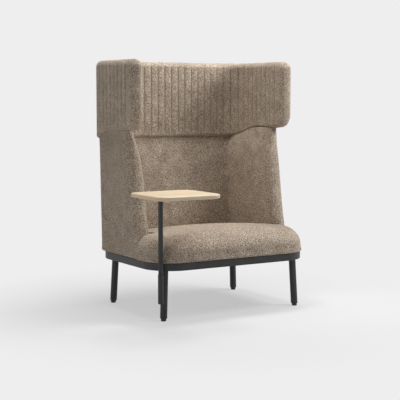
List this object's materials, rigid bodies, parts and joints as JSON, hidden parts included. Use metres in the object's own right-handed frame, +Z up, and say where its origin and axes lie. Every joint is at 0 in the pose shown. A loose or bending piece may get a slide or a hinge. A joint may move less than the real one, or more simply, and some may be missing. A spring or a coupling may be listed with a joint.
{
  "type": "acoustic high back lounge chair",
  "caption": "Upholstered one-seat lounge chair with side wings, a U-shaped channelled hood, a black steel base and a small swivelling wooden table.",
  "frame": {"origin": "on the floor, at the middle of the box round the hood and the tabletop", "axes": "+Z up, the chair faces -Y, +X is on the right as seen from the front"},
  "size_m": [1.0648, 0.9638, 1.3],
  "materials": {
    "wool_fabric": "beige-brown wool melange with a short fuzzy pile",
    "black_steel": "matt black powder coat",
    "pale_ash": "clear matt lacquer",
    "birch_plywood": "raw",
    "zinc_steel": "zinc plated",
    "black_nylon": "moulded, matt"
  },
  "bodies": {
    "chair": {"ring_front_rail": "black_steel", "ring_rear_rail": "black_steel", "ring_left_rail": "black_steel", "ring_right_rail": "black_steel", "ring_front_left_bend": "black_steel", "ring_front_right_bend": "black_steel", "ring_rear_left_bend": "black_steel", "ring_rear_right_bend": "black_steel", "front_cross_rail": "black_steel", "rear_cross_rail": "black_steel", "front_left_leg_plate": "black_steel", "front_right_leg_plate": "black_steel", "rear_left_leg_plate": "black_steel", "rear_right_leg_plate": "black_steel", "front_left_leg": "black_steel", "front_right_leg": "black_steel", "rear_left_leg": "black_steel", "rear_right_leg": "black_steel", "front_left_foot_glide": "black_nylon", "front_right_foot_glide": "black_nylon", "rear_left_foot_glide": "black_nylon", "rear_right_foot_glide": "black_nylon", "front_left_leg_bolt": "zinc_steel", "front_right_leg_bolt": "zinc_steel", "rear_left_leg_bolt": "zinc_steel", "rear_right_leg_bolt": "zinc_steel", "seat_deck": "birch_plywood", "seat_cushion": "wool_fabric", "left_wing_pad": "wool_fabric", "right_wing_pad": "wool_fabric", "back_pad": "wool_fabric", "hood_upholstery": "wool_fabric", "left_wing_board": "birch_plywood", "right_wing_board": "birch_plywood", "back_board": "birch_plywood", "left_hood_board": "birch_plywood", "right_hood_board": "birch_plywood", "hood_back_board": "birch_plywood", "left_upright": "black_steel", "right_upright": "black_steel", "shell_bolt_1": "zinc_steel", "shell_bolt_2": "zinc_steel", "shell_bolt_3": "zinc_steel", "shell_bolt_4": "zinc_steel", "shell_bolt_5": "zinc_steel", "shell_bolt_6": "zinc_steel", "deck_screw_1": "zinc_steel", "deck_screw_2": "zinc_steel", "deck_screw_3": "zinc_steel", "deck_screw_4": "zinc_steel", "post_socket": "black_steel", "socket_bracket": "black_steel", "upper_bush": "black_nylon", "lower_bush": "black_nylon", "socket_end_cap": "black_nylon"},
    "side_table": {"table_post": "black_steel", "table_plate": "black_steel", "tabletop": "pale_ash"}
  },
  "joints": [
    {"name": "table_swivel", "type": "hinge", "parent": "chair", "child": "side_table", "pos_m": [-0.39841, -0.24086, 0.35], "axis": [0, 0, 1], "range_deg": [-90, 90]}
  ]
}
